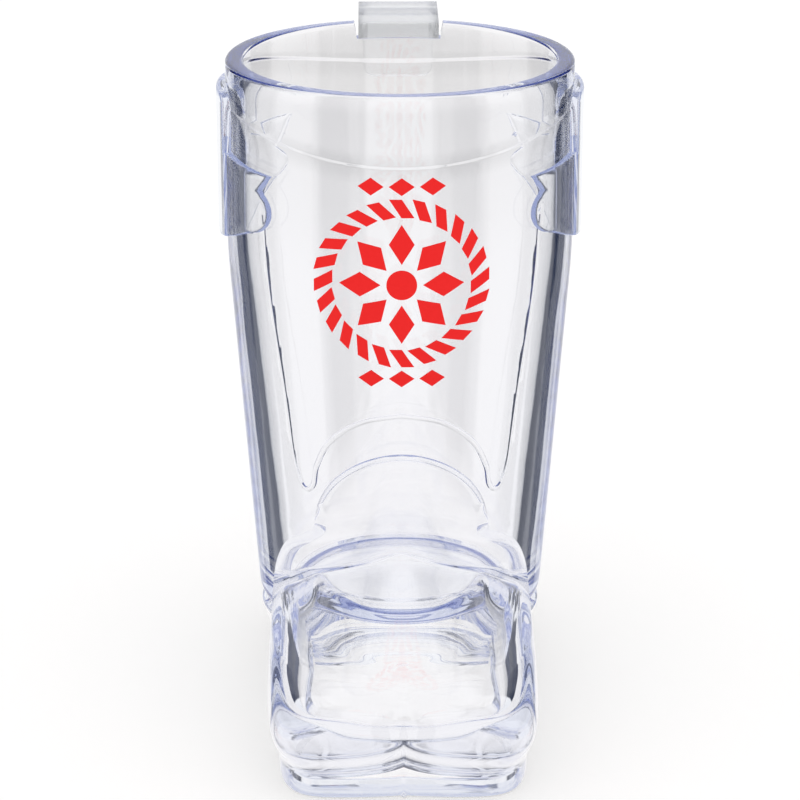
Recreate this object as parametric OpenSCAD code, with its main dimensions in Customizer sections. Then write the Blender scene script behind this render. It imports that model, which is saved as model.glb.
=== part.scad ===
// Boot shot glass: a clear moulded drinking glass in the shape of a square-toed western boot.
// The shaft is the cup. Its axis is the Z axis, the toe points to -Y, and the glass stands on Z = 0.

/* [Shaft and cup] */
// Height of the rim above the table
rim_h = 76; // [72:0.5:90]
// Outer diameter of the shaft at the rim, under the collar
rim_d = 41.6; // [38:0.2:46]
// Outer diameter where the straight upper part ends
belly_d = 42.5; // [38.4:0.1:46.4]
// Length of the straight upper part
straight_h = 23; // [21.5:0.5:28]
// Outer diameter of the shaft at its base
ankle_d = 35.8; // [33:0.2:38]
// Wall of the cup at the rim
cup_wall = 1.9; // [1.4:0.1:2.6]
// Wall of the cup at its floor
cup_wall_low = 3; // [1.6:0.1:3.6]
// Floor of the cup
cup_floor = 2.4; // [2:0.1:4]
// Radius between the floor and the wall inside the cup
floor_fillet = 3; // [1:0.25:5]
// Rounding of the base's outer edge
base_round = 3; // [0.8:0.1:4]
// Rounding of the rim's edges
rim_round = 0.5; // [0.2:0.05:0.6]

/* [Collar] */
// How far the collar stands proud of the shaft
collar_proud = 0.25; // [0.1:0.05:0.5]
// Depth of the collar below the rim at the front
collar_front = 8.4; // [6:0.2:9.5]
// Depth of the collar below the rim at the back
collar_back = 5.3; // [4.2:0.1:7]
// Radius of the collar's curved lower edge, seen from the front or the back
collar_sweep_r = 62; // [50:1:90]

/* [Pull straps] */
// Thickness of a strap at its top
strap_t = 1.4; // [0.9:0.1:2]
// Thickness of a strap at its foot
strap_foot_t = 1; // [0.8:0.1:1.6]
// Width of the upright part of a strap
strap_w = 13; // [9:0.5:16]
// Height of a strap
strap_h = 18.3; // [17:0.1:19.5]
// Distance from the rim down to a strap
strap_drop = 3.2; // [1.5:0.1:3.5]
// Corner radius at a strap's top
strap_corner = 1.6; // [0.5:0.1:3]
// Width across the two wings of a strap
wing_w = 30.4; // [27:0.2:32]
// Height from a strap's foot to the points of its wings
wing_h = 10.6; // [9.5:0.1:12]
// Radius of the round lobe under each point
lobe_r = 2.9; // [2.2:0.1:3.2]

/* [Foot] */
// Distance from the shaft's axis to the front of the toe
toe_reach = 48.4; // [43:0.2:54]
// Width of the toe
toe_w = 31.8; // [30:0.2:32.6]
// How far the front of the toe draws in where it meets the sole
toe_tuck = 1.8; // [0.8:0.1:2.4]
// How far the sides of the toe draw in where they meet the sole
side_tuck = 1; // [0.5:0.1:1.6]
// Height of the toe's widest line
bulge_h = 6.6; // [5:0.2:8]
// Height of the top of the toe box
toe_h = 11; // [9.5:0.25:13]
// How far the top of the toe box lies behind the front of the toe
toe_set_back = 4; // [2.5:0.1:5]
// Height of the instep, half way up the vamp
instep_h = 15.3; // [14.5:0.1:16.4]
// Distance from the shaft's axis to the instep
instep_reach = 30.5; // [28:0.5:34]
// Width of the foot at the instep
instep_w = 30.6; // [28:0.2:31.4]
// Width of the vamp's ridge at the instep
vamp_w = 23; // [20:0.2:27]
// Height at which the vamp meets the front of the shaft
crease_h = 18.6; // [17.5:0.1:19.8]
// How far the vamp stands off the shaft there
crease_stand_off = 1.4; // [1:0.1:2.4]
// Width of the foot at that height
crease_w = 27.8; // [25:0.2:29]
// Width of the vamp's ridge at that height
crease_ridge_w = 10; // [6:0.2:13]
// Height at which the tongue's sides turn out into the foot's upper edge
tongue_foot_h = 22; // [20.5:0.25:24]
// Width of the tongue there
tongue_w = 21; // [17:0.25:24]
// Height of the tip of the tongue
tongue_h = 32; // [29.5:0.25:35]
// How far the foot's upper edge and the tip of the tongue stand off the shaft
tongue_edge = 0.8; // [0.5:0.1:1.5]
// Width over which the vamp flows into the tongue and the foot's upper edge
vamp_blend = 2.5; // [1:0.1:4]
// Wall of the foot, up to the instep
foot_wall = 1.8; // [1.2:0.1:2.4]
// Wall of the foot at the tip of the tongue
tongue_wall = 0.8; // [0.5:0.1:1.2]
// Depth of the cleft between the toe's two lobes
cleft = 3; // [1:0.1:3.6]
// Half-width of the cleft
cleft_w = 3.4; // [2:0.1:4.5]

/* [Sole and heel] */
// Thickness of the sole
sole_t = 2.4; // [1.8:0.1:3.2]
// How far the sole's edge stays inside the foot's lower edge
sole_inset = 0.2; // [0:0.05:0.6]
// Depth of the sole's own dip at the middle of the toe
sole_cleft = 0.6; // [0.2:0.1:1.2]
// Rise of the sole at the waist, between the ball and the heel
arch_rise = 1.2; // [0.6:0.1:1.4]
// Length of the raised waist
arch_len = 15; // [10:0.5:18]
// Height of the rib that locates the sole in the foot
rib_h = 1.4; // [0.8:0.1:2]
// Thickness of that rib
rib_t = 1.2; // [0.8:0.1:2]
// Width of the cross wall on the sole that carries the front of the cup's base
prop_w = 23.8; // [22:0.2:25]
// Thickness of that wall
prop_t = 1.8; // [1.2:0.1:2.4]
// Distance from the shaft's axis forward to that wall's front face
prop_reach = 17.4; // [16.6:0.2:18]
// Height of the heel
heel_h = 6; // [5:0.25:7.5]
// Diameter of the heel at its top
heel_d = 35.2; // [33:0.2:38]
// Diameter of the heel at its foot, where it has tapered in
heel_foot_d = 32.4; // [30:0.2:33]
// Rounding of the heel's lower edge
heel_round = 1; // [0.4:0.1:1.8]
// Distance from the shaft's axis forward to the heel's front face
heel_front = 7; // [6:0.25:8.5]
// Diameter of the boss that locates the heel in the cup's base
boss_d = 12; // [8:0.5:16]
// Height of that boss
boss_h = 0.9; // [0.5:0.1:1]

/* [Rear clip] */
// Width of the clip's shelf
clip_w = 10.2; // [8:0.2:12]
// Width of the clip's leg at its lower end
leg_tip_w = 9.2; // [7:0.2:10]
// Thickness of the clip's shelf
shelf_t = 2; // [1.5:0.1:3]
// Clear gap between the shaft and the clip's leg
clip_gap = 9; // [6:0.2:11]
// Thickness of the clip's leg
leg_t = 1.7; // [1.2:0.1:2.2]
// Height of the clip's leg, measured down from the rim
leg_h = 9.4; // [8.6:0.2:12]
// Corner radius at the leg's lower end
leg_corner = 1.4; // [0.5:0.1:2]
// How much wider the rim's notch is at each side of its mouth
notch_flare = 0.4; // [0.2:0.05:0.8]

/* [Front print] */
// Thickness of the ink
ink_t = 0.12; // [0.08:0.01:0.2]
// Distance from the rim down to the print's centre
print_drop = 22.4; // [21.5:0.1:24]
// Radius of the rope ring's middle
ring_r = 9.2; // [8:0.1:9.8]
// Width of the rope ring
ring_w = 2.2; // [1.4:0.1:2.6]
// Number of strands in the rope ring
ring_strands = 24; // [12:1:30]
// Radius of the rosette
rosette_r = 7.3; // [5.5:0.1:7.5]
// Radius of the rosette's hub
hub_r = 1.8; // [1:0.1:2]
// Number of petals in the rosette
petals = 8; // [6:1:9]
// Width of a petal
petal_w = 3; // [2:0.1:3.2]
// Half-length of the small diamonds above and below the ring
diamond = 1.5; // [1:0.1:1.8]

/* [Fits] */
// Bond line between two pieces whose curved faces meet
bond_gap = 0.1; // [0.05:0.05:0.2]
// Clearance round a locating rib, boss or shelf
fit_gap = 0.15; // [0.1:0.05:0.3]

/* [Hidden] */
$fn = 96;
// Facets of the large sweeps
sweep_fn = 180;
clear_col = [0.86, 0.89, 0.95, 0.55];
sole_col = [0.78, 0.82, 0.90, 0.6];
print_col = [0.96, 0.19, 0.18];
// Overlap that lets one solid cut cleanly through another
eps = 0.5;
// Height where the straight upper part ends
belly_z = rim_h - straight_h;
// Height where the rounding of the shaft's base ends
ankle_z = heel_h + base_round;
// Inside floor of the cup
floor_z = heel_h + cup_floor;
// Heights of a strap's foot and top
strap_z = rim_h - strap_drop - strap_h;
strap_top = rim_h - strap_drop;
// Height of the print's centre, and its distance from there to a row of diamonds
print_z = rim_h - print_drop;
row_z = ring_r + ring_w / 2 + diamond;
// Film of air under the ink
film = 0.02;
// Underside of the clip's shelf, and the near face of its leg
shelf_z = rim_h - shelf_t;
leg_y = rim_d / 2 + collar_proud + clip_gap;
// Depth of a lobe's centre below the point of its wing, and the stretch of the lobe that shows
lobe_drop = 1.6 * lobe_r;
lobe_from = -80;
lobe_to = 60;
// Rise of a wing's upper edge from its point to the strap
wing_rise = 0.6;
// Share of a strand's pitch that is inked, and its lean in pitches across the ring
strand_fill = 0.62;
strand_lean = 0.6;
// Gap between the hub and the petals, and how far out a petal is widest
hub_gap = 0.7;
petal_waist = 0.5;
// Height of a diamond in half-lengths, and the pitch of a row of them
diamond_slim = 0.7;
diamond_pitch = 2.4;
// Steps in an arc of a quarter turn, and in the foot's loft
arc_steps = 8;
foot_steps = 40;
foot_rings = 22;
// Plan exponents: the square toe, the top of the toe box, the instep, and a plain ellipse
square_toe = 7;
toe_top_plan = 2.6;
instep_plan = 2.4;
round_plan = 2;
// Exponent of the tongue's arched outline
tongue_arch = 1.9;
// Exponent of the cleft's section, where 1 would be a sharp crease and 2 a round valley
cleft_form = 1.2;
// Heights at which the cleft begins to fade and at which it has run out
cleft_full = (bulge_h + toe_h) / 2;
cleft_top = (toe_h + instep_h) / 2;
// Least half-width of the foot's loft, where the tongue runs out
least = 0.05;
// Plan centre from which the foot's front curve is drawn
foot_centre = 14;
// How steeply the vamp's plan falls away beside its ridge
ridge_fall = 3;
// Exponent of the ridge's flanks at the crease, where 1 would be a plain bow
ridge_form = 1.3;

// Outer radius of the shaft at height z
function shaft_r(z) = z > belly_z
    ? belly_d / 2 + (rim_d - belly_d) / 2 * (z - belly_z) / straight_h
    : ankle_d / 2 + (belly_d - ankle_d) / 2 * (z - ankle_z) / (belly_z - ankle_z);

// Wall of the cup at height z, which thickens from the rim down to the floor
function wall_at(z) = cup_wall_low + (cup_wall - cup_wall_low) * (z - floor_z) / (rim_h - floor_z);

// Points on an arc about c from angle a to angle b
function arc(c, r, a, b) =
    [for (i = [0:arc_steps]) let (t = a + (b - a) * i / arc_steps) c + r * [cos(t), sin(t)]];

// One row of the foot: height, reach, half-width, half-width of the ridge and plan exponent
foot_rows = [
    [sole_t, toe_reach - toe_tuck, toe_w / 2 - side_tuck, toe_w / 2 - side_tuck, square_toe],
    [bulge_h, toe_reach, toe_w / 2, toe_w / 2, square_toe],
    [toe_h, toe_reach - toe_set_back, toe_w / 2, toe_w / 2, toe_top_plan],
    [instep_h, instep_reach, instep_w / 2, vamp_w / 2, instep_plan],
    [crease_h, shaft_r(crease_h) + crease_stand_off, crease_w / 2, crease_ridge_w / 2, round_plan],
    [tongue_foot_h, foot_centre, tongue_w / 2, least, round_plan],
    [tongue_h, foot_centre, crease_w / 2, least, round_plan]
];

// Cubic through four values at t between the middle two
function cubic(a, b, c, d, t) =
    b + 0.5 * t * (c - a + t * (2 * a - 5 * b + 4 * c - d + t * (3 * (b - c) + d - a)));
// Row of the foot at height z
function row_index(z, i = 0) =
    i >= len(foot_rows) - 2 || z < foot_rows[i + 1][0] ? i : row_index(z, i + 1);
function foot_row(z) = let (
    i = row_index(z),
    n = len(foot_rows) - 1,
    lo = foot_rows[i],
    hi = foot_rows[i + 1],
    t = min(1, max(0, (z - lo[0]) / (hi[0] - lo[0])))
) cubic(foot_rows[max(0, i - 1)], lo, hi, foot_rows[min(n, i + 2)], t);

// Half-width of the tongue at height z
function tongue_half(z) = let (u = (z - tongue_foot_h) / (tongue_h - tongue_foot_h))
    tongue_w / 2 * pow(max(0, 1 - pow(u, tongue_arch)), 1 / tongue_arch);

// Wall of the foot at height z
function foot_wall_at(z) =
    foot_wall + (tongue_wall - foot_wall) * max(0, z - instep_h) / (tongue_h - instep_h);

// Point of the foot's plan at height z, drawn in by inset and dipped at the middle of the toe, with s from -1
// at one flank to 1 at the other
function foot_point(z, s, inset, dip) = let (
    row = foot_row(z),
    n = max(round_plan, row[4]),
    half = max(least, (z > tongue_foot_h ? tongue_half(z) : row[2]) - inset),
    ridge = min(half, max(least, row[3] - inset)),
    reach = max(foot_centre + least, row[1] - inset),
    x = half * sin(90 * s),
    beside = abs(x) - ridge,
    bow = 1 / n + (ridge_form - 1 / n) * min(1, max(0, (z - toe_h) / (crease_h - toe_h))),
    y = beside < 0
        ? -foot_centre - (reach - foot_centre) * pow(1 - pow(abs(x) / ridge, n), bow)
        : -foot_centre + ridge_fall * beside,
    fade = min(1, max(0, (cleft_top - z) / (cleft_top - cleft_full)))
) [x, y + dip * fade * exp(-pow(abs(x) / cleft_w, cleft_form))];

// The foot's plan from one flank round the toe to the other, carried back to the heel's front face
function foot_front(z, inset, dip) =
    [for (i = [0:foot_steps]) foot_point(z, 1 - 2 * i / foot_steps, inset, dip)];
function foot_plan(z, inset, dip = cleft) = let (front = foot_front(z, inset, dip)) concat(
    [[front[0][0], -heel_front]],
    front,
    [[front[foot_steps][0], -heel_front]]
);
// The larger of two values, with a soft bend of width k where they cross
function soft_max(a, b, k) = let (near = max(0, k - abs(a - b)))
    max(a, b) + (near > 0 ? near * near / (4 * k) : 0);
// A plan point pushed forward until it stands off the shaft by stand
function clear_of_shaft(p, z, stand) = let (
    r = z < heel_h - bond_gap ? 0 : shaft_r(z) + stand,
    need = abs(p[0]) < r ? sqrt(r * r - p[0] * p[0]) : 0
) [p[0], min(-soft_max(-p[1], need, vamp_blend), -heel_front)];
function foot_ring(z, inset, stand) =
    [for (p = foot_plan(z, inset)) clear_of_shaft(p, z, stand)];

// Closed skin through rings of equal length, where each ring is a list of points in space
module skin(rings) {
    n = len(rings[0]);
    last = (len(rings) - 1) * n;
    sides = [
        for (i = [0:len(rings) - 2], j = [0:n - 1])
            let (a = i * n + j, b = i * n + (j + 1) % n)
            each [[a, b, b + n], [a, b + n, a + n]]
    ];
    // Each ring is a strip, so its caps join a point to its partner across the wall
    caps = [
        for (j = [0:n / 2 - 2])
            let (a = j, b = j + 1, c = n - 2 - j, d = n - 1 - j)
            each [
                [a, c, b], [a, d, c],
                [last + a, last + b, last + c], [last + a, last + c, last + d]
            ]
    ];
    polyhedron([for (r = rings) each r], concat(sides, caps));
}

// Solid of the shaft's outside
module shaft_solid() {
    // The collar carries the rim's rounding, so the shaft's own edge lies inside it
    rim_in = rim_round + collar_proud;
    rotate_extrude() polygon(concat(
        [[0, heel_h]],
        arc([ankle_d / 2 - base_round, ankle_z], base_round, -90, 0),
        [[belly_d / 2, belly_z]],
        arc([rim_d / 2 - rim_in, rim_h - rim_in], rim_in, 0, 90),
        [[0, rim_h]]
    ));
}

// Solid of the space inside the cup, open past the rim
module cup_space() {
    low_r = shaft_r(floor_z) - cup_wall_low;
    top_r = rim_d / 2 - cup_wall;
    rotate_extrude() polygon(concat(
        [[0, floor_z]],
        arc([low_r - floor_fillet, floor_z + floor_fillet], floor_fillet, -90, 0),
        [
            [belly_d / 2 - wall_at(belly_z), belly_z],
            [top_r, rim_h - rim_round],
            [top_r + rim_round, rim_h],
            [top_r + rim_round, rim_h + eps],
            [0, rim_h + eps]
        ]
    ));
}

// Band round the mouth with a curved lower edge that hangs lower at the front
module collar() {
    low = rim_h - collar_front - eps;
    core_r = rim_d / 2 - cup_wall / 2;
    intersection() {
        rotate_extrude() polygon(concat(
            [[core_r, low], [shaft_r(low) + collar_proud, low]],
            arc([rim_d / 2 + collar_proud - rim_round, rim_h - rim_round], rim_round, 0, 90),
            [[core_r, rim_h]]
        ));
        union() {
            collar_half(collar_front, 90);
            collar_half(collar_back, -90);
        }
    }
}
// A lying cylinder whose underside is the collar's lower edge, on the side that turn gives
module collar_half(depth, turn) {
    translate([0, 0, rim_h - depth + collar_sweep_r])
        rotate([turn, 0, 0])
            cylinder(r = collar_sweep_r, h = rim_d, $fn = sweep_fn);
}

// Notch in the rim at the back, flared at its mouth, in which the clip's shelf sits
module rim_notch() {
    half = clip_w / 2 + fit_gap;
    rotate([90, 0, 180])
        linear_extrude(height = rim_d)
            polygon([
                [-half, shelf_z],
                [half, shelf_z],
                [half + notch_flare, rim_h],
                [half + notch_flare, rim_h + eps],
                [-half - notch_flare, rim_h + eps],
                [-half - notch_flare, rim_h]
            ]);
}

// Half of a strap's outline, from the middle of its foot round the wing to the middle of its top
function strap_half() = let (
    lobe_x = wing_w / 2 - lobe_r,
    lobe_z = wing_h - lobe_drop,
    foot_z = lobe_z - lobe_r,
    foot_r = (lobe_x * lobe_x + foot_z * foot_z) / (2 * foot_z),
    foot_a = asin(lobe_x / foot_r),
    top_x = strap_w / 2 - strap_corner
) concat(
    arc([0, foot_r], foot_r, -90, foot_a - 90),
    arc([lobe_x, lobe_z], lobe_r, lobe_from, lobe_to),
    [[wing_w / 2, wing_h], [strap_w / 2, wing_h + wing_rise]],
    arc([top_x, strap_h - strap_corner], strap_corner, 0, 90)
);

// The whole outline of a strap, the half and its mirror image
module strap_outline() {
    half = strap_half();
    n = len(half);
    polygon(concat(half, [for (i = [1:n - 1]) let (p = half[n - i]) [-p[0], p[1]]]));
}

// A strap at one side of the mouth: a ring cut to the strap's outline
module pull_strap(side) {
    z0 = strap_z - eps;
    z1 = strap_top + eps;
    in_gap = collar_proud + bond_gap;
    color(clear_col)
        intersection() {
            rotate_extrude() polygon([
                [shaft_r(z0) + in_gap, z0],
                [shaft_r(z0) + strap_foot_t, z0],
                [shaft_r(z1) + strap_t, z1],
                [shaft_r(z1) + in_gap, z1]
            ]);
            translate([0, 0, strap_z])
                rotate([90, 0, 90 * side])
                    linear_extrude(height = belly_d)
                        strap_outline();
        }
}

// The shaft and its collar, hollowed by the cup, with the clip's notch and the heel's socket
module shaft_cup() {
    color(clear_col)
        difference() {
            union() {
                shaft_solid();
                collar();
            }
            cup_space();
            rim_notch();
            translate([0, 0, heel_h - eps])
                cylinder(d = boss_d + 2 * fit_gap, h = eps + boss_h + fit_gap);
        }
}

// The vamp and toe, a wall lofted up to the tongue's tip, toward which it thins
module foot_shell() {
    color(clear_col)
        skin([
            for (i = [0:foot_rings])
                let (
                    // Rings gather toward the tongue's tip, where the outline turns fastest
                    z = sole_t + (tongue_h - sole_t) * sin(90 * i / foot_rings),
                    outer = foot_ring(z, 0, tongue_edge),
                    wall = foot_wall_at(z),
                    inner = foot_ring(min(tongue_h, z + wall / 2), wall, bond_gap),
                    m = len(inner) - 1
                )
                concat(
                    [for (p = outer) [p[0], p[1], z]],
                    [for (j = [0:m]) [inner[m - j][0], inner[m - j][1], z]]
                )
        ]);
}

// The plate that closes the foot, with its locating rib and the cross wall under the cup's base
module outsole() {
    inner = foot_wall + fit_gap;
    color(sole_col) {
        difference() {
            linear_extrude(height = sole_t)
                polygon(foot_plan(sole_t, sole_inset, sole_cleft));
            arch_cut();
        }
        translate([0, 0, sole_t])
            linear_extrude(height = rib_h)
                difference() {
                    polygon(foot_plan(sole_t, inner));
                    polygon(foot_plan(sole_t, inner + rib_t));
                }
        translate([-prop_w / 2, -prop_reach, sole_t - eps])
            cube([prop_w, prop_t, heel_h - bond_gap - sole_t + eps]);
    }
}

// Hollow of the raised waist under the sole, a shallow round across the foot
module arch_cut() {
    r = (arch_len * arch_len / 4 + arch_rise * arch_rise) / (2 * arch_rise);
    translate([-toe_w, -heel_front - arch_len / 2, arch_rise - r])
        rotate([0, 90, 0])
            cylinder(r = r, h = 2 * toe_w, $fn = sweep_fn);
}

// The tapered heel, cut flat where the sole meets it, with its locating boss
module heel_block() {
    foot_r = heel_foot_d / 2;
    color(sole_col)
        difference() {
            union() {
                rotate_extrude() polygon(concat(
                    [[0, 0]],
                    arc([foot_r - heel_round, heel_round], heel_round, -90, 0),
                    [[heel_d / 2, heel_h], [0, heel_h]]
                ));
                cylinder(d = boss_d, h = heel_h + boss_h);
            }
            translate([-heel_d, -heel_d - heel_front + fit_gap, -eps])
                cube([2 * heel_d, heel_d, heel_h + boss_h + 2 * eps]);
        }
}

module pull_strap_left() {
    pull_strap(-1);
}

module pull_strap_right() {
    pull_strap(1);
}

// The hanger at the back: a shelf in the rim's notch and a leg at its end
module rear_clip() {
    color(clear_col) {
        difference() {
            translate([-clip_w / 2, 0, shelf_z])
                cube([clip_w, leg_y + leg_t / 2, shelf_t]);
            cup_space();
        }
        translate([0, leg_y + leg_t, 0])
            rotate([90, 0, 0])
                linear_extrude(height = leg_t)
                    leg_outline();
    }
}

// Outline of the leg, seen from behind: it tapers down to two rounded corners
module leg_outline() {
    tip = leg_tip_w / 2 - leg_corner;
    low = rim_h - leg_h + leg_corner;
    polygon(concat(
        [[-clip_w / 2, rim_h]],
        arc([-tip, low], leg_corner, 180, 270),
        arc([tip, low], leg_corner, 270, 360),
        [[clip_w / 2, rim_h]]
    ));
}

// Flat artwork about the print's centre: a rosette in a rope ring, with a row of diamonds above and below
module print_art() {
    pitch = 2 * PI * ring_r / ring_strands;
    fill = strand_fill * pitch / 2;
    lean = strand_lean * pitch / 2;
    for (i = [0:ring_strands - 1])
        rotate(i * 360 / ring_strands)
            translate([ring_r, 0])
                polygon([
                    [-ring_w / 2, -fill - lean],
                    [ring_w / 2, -fill + lean],
                    [ring_w / 2, fill + lean],
                    [-ring_w / 2, fill - lean]
                ]);
    circle(r = hub_r);
    for (i = [0:petals - 1])
        rotate(i * 360 / petals)
            petal(hub_r + hub_gap, rosette_r);
    for (row = [-1, 1], i = [-1:1])
        translate([diamond_pitch * diamond * i, row * row_z])
            polygon([
                [-diamond, 0],
                [0, -diamond_slim * diamond],
                [diamond, 0],
                [0, diamond_slim * diamond]
            ]);
}

// One petal along +X between two radii
module petal(from, to) {
    waist = from + petal_waist * (to - from);
    polygon([[from, 0], [waist, petal_w / 2], [to, 0], [waist, -petal_w / 2]]);
}

// The ink, a thin skin of the artwork wrapped on the shaft
module front_print() {
    low = print_z - row_z - diamond;
    color(print_col)
        intersection() {
            rotate_extrude() polygon([
                [shaft_r(low) + film, low],
                [shaft_r(low) + ink_t, low],
                [belly_d / 2 + ink_t, belly_z],
                [rim_d / 2 + ink_t, rim_h],
                [rim_d / 2 + film, rim_h],
                [belly_d / 2 + film, belly_z]
            ]);
            translate([0, 0, print_z])
                rotate([90, 0, 0])
                    linear_extrude(height = belly_d)
                        print_art();
        }
}

shaft_cup();
foot_shell();
outsole();
heel_block();
pull_strap_left();
pull_strap_right();
rear_clip();
front_print();
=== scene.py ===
"""Looks of a clear plastic shot glass in the shape of a square-toed western boot.

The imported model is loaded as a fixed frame. Each clear piece is built again as a finer mesh on the same
sizes, with the raised lines that the moulding shows, and every surface gets its finish. The stage is a pale
floor in soft light, with the camera at the toe side.
"""

import logging
import math
from collections.abc import Callable, Sequence
from dataclasses import dataclass
from enum import Enum

import bmesh
import bpy
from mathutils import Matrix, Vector


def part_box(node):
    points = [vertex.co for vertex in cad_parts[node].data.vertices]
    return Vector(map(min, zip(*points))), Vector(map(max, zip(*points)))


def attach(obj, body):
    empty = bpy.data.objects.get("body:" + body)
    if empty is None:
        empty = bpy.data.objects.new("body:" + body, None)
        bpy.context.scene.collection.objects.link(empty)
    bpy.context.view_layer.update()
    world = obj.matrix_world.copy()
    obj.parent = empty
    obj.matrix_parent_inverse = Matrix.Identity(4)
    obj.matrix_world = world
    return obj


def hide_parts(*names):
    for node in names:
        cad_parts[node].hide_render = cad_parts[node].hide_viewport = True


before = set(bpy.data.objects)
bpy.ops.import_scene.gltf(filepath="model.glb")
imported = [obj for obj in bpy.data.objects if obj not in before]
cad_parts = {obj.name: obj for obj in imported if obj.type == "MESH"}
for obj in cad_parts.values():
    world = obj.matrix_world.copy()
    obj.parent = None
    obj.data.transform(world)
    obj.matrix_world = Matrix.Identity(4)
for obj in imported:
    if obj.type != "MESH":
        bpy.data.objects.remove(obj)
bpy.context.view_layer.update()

LOG = logging.getLogger("boot_shot_glass")
MM = 0.001
ROOT = "root"
SHARP_ANGLE = math.radians(32)
WELD = 0.0001 * MM
SLIVER = 0.01 * MM
ROUND_STEPS = 3
ROUND_PROFILE = 0.5
WHITE = (1, 1, 1, 1)

Point = tuple[float, float, float]
Flat = tuple[float, float]
Colour = tuple[float, float, float]
Piece = bpy.types.Object
Material = bpy.types.Material
Node = bpy.types.Node
Socket = bpy.types.NodeSocket
Plate = bmesh.types.BMesh


class Cap(Enum):
    """How the two ends of a loft are closed."""

    DISC = "disc"
    STRIP = "strip"


class Side(Enum):
    """The two sides of the boot, seen from the toe."""

    LEFT = -1
    RIGHT = 1


class Cut(Enum):
    """What a tool solid does to the piece that it meets."""

    ADD = "UNION"
    REMOVE = "DIFFERENCE"


def mix(a: float, b: float, t: float) -> float:
    """Value between a and b at t from 0 to 1."""
    return a + (b - a) * t


def ease(low: float, high: float, value: float) -> float:
    """Smooth step from 0 at low to 1 at high."""
    t = min(1.0, max(0.0, (value - low) / (high - low)))
    return t * t * (3 - 2 * t)


def arc(centre: Flat, radius: float, start: float, end: float, steps: int) -> list[Flat]:
    """Points on an arc.

    Args:
        centre: Centre of the arc.
        radius: Its radius.
        start: First angle in degrees.
        end: Last angle in degrees.
        steps: Number of stretches between the points.

    Returns:
        The points, both ends included.
    """
    angles = [math.radians(mix(start, end, i / steps)) for i in range(steps + 1)]
    return [(centre[0] + radius * math.cos(a), centre[1] + radius * math.sin(a)) for a in angles]


def turned_point(angle: float, r: float, z: float) -> Point:
    """Point at an angle in degrees from the front, a radius and a height."""
    a = math.radians(angle)
    return (r * math.sin(a), -r * math.cos(a), z)


def spline(points: Sequence[Flat], steps: int) -> list[Flat]:
    """Smooth curve through points.

    Args:
        points: Points that the curve passes through.
        steps: Number of stretches between two of them.

    Returns:
        Points along the curve, both ends included.
    """
    padded = [points[0], *points, points[-1]]
    curve = []
    for k in range(len(points) - 1):
        a, b, c, d = padded[k:k + 4]
        for i in range(steps):
            t = i / steps
            curve.append(tuple(cubic(a[j], b[j], c[j], d[j], t) for j in range(2)))
    return [*curve, points[-1]]


def cubic(a: float, b: float, c: float, d: float, t: float) -> float:
    """Cubic through four values, at t between the middle two."""
    return b + 0.5 * t * (c - a + t * (2 * a - 5 * b + 4 * c - d + t * (3 * (b - c) + d - a)))


def make_piece(
    name: str,
    points: Sequence[Point],
    faces: Sequence[Sequence[int]],
    edges: Sequence[tuple[int, int]] = (),
) -> Piece:
    """Makes a mesh object in the scene.

    Args:
        name: Name of the object.
        points: Corners in millimetres.
        faces: Corners of each face, by number.
        edges: Ends of each edge that has no face.

    Returns:
        The object, with its faces turned outwards.
    """
    mesh = bpy.data.meshes.new(name)
    mesh.from_pydata([tuple(v * MM for v in p) for p in points], edges, faces)
    shape = bmesh.new()
    shape.from_mesh(mesh)
    bmesh.ops.remove_doubles(shape, verts=shape.verts, dist=WELD)
    bmesh.ops.recalc_face_normals(shape, faces=shape.faces)
    shape.to_mesh(mesh)
    shape.free()
    piece = bpy.data.objects.new(name, mesh)
    bpy.context.scene.collection.objects.link(piece)
    return piece


def loft(name: str, rings: Sequence[Sequence[Point]], cap: Cap) -> Piece:
    """Closed skin through rings of equal length.

    Args:
        name: Name of the object.
        rings: The rings in order, each a closed loop of points in millimetres.
        cap: How the first and the last ring are closed.

    Returns:
        The object.
    """
    n = len(rings[0])
    faces: list[list[int]] = []
    for i in range(len(rings) - 1):
        for j in range(n):
            a, b = i * n + j, i * n + (j + 1) % n
            faces.append([a, b, b + n, a + n])
    for first in (0, (len(rings) - 1) * n):
        if cap is Cap.DISC:
            faces.append([first + j for j in range(n)])
        else:
            for j in range(n // 2 - 1):
                faces.append([first + j, first + j + 1, first + n - 2 - j, first + n - 1 - j])
    return make_piece(name, [p for ring in rings for p in ring], faces)


def rounded_plate(outline: Sequence[Flat], depth: float, lower: float, upper: float) -> Plate:
    """Flat plate with rounded rims.

    Args:
        outline: Closed outline of the plate, on X and Y.
        depth: Thickness of the plate, on Z from nought.
        lower: Width of the rounding of the rim at nought.
        upper: Width of the rounding of the other rim.

    Returns:
        The plate, in millimetres.
    """
    plate = bmesh.new()
    under, over = ([plate.verts.new((x, y, z)) for x, y in outline] for z in (0.0, depth))
    plate.faces.new(reversed(under))
    plate.faces.new(over)
    for i in range(len(outline)):
        plate.faces.new((under[i - 1], under[i], over[i], over[i - 1]))
    for level, width in ((0.0, lower), (depth, upper)):
        rim = [e for e in plate.edges if all(v.co.z == level for v in e.verts)]
        bmesh.ops.bevel(
            plate, geom=rim, offset=width, segments=ROUND_STEPS, profile=ROUND_PROFILE, affect="EDGES",
        )
    return plate


def cut_slices(plate: Plate, normal: Vector, spots: Sequence[float]) -> None:
    """Cuts a plate's faces, so that the plate can be bent.

    Args:
        plate: The plate.
        normal: Direction across the cuts.
        spots: Places of the cuts along it.
    """
    for spot in spots:
        everything = [*plate.verts, *plate.edges, *plate.faces]
        bmesh.ops.bisect_plane(plate, geom=everything, plane_co=normal * spot, plane_no=normal)


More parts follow.
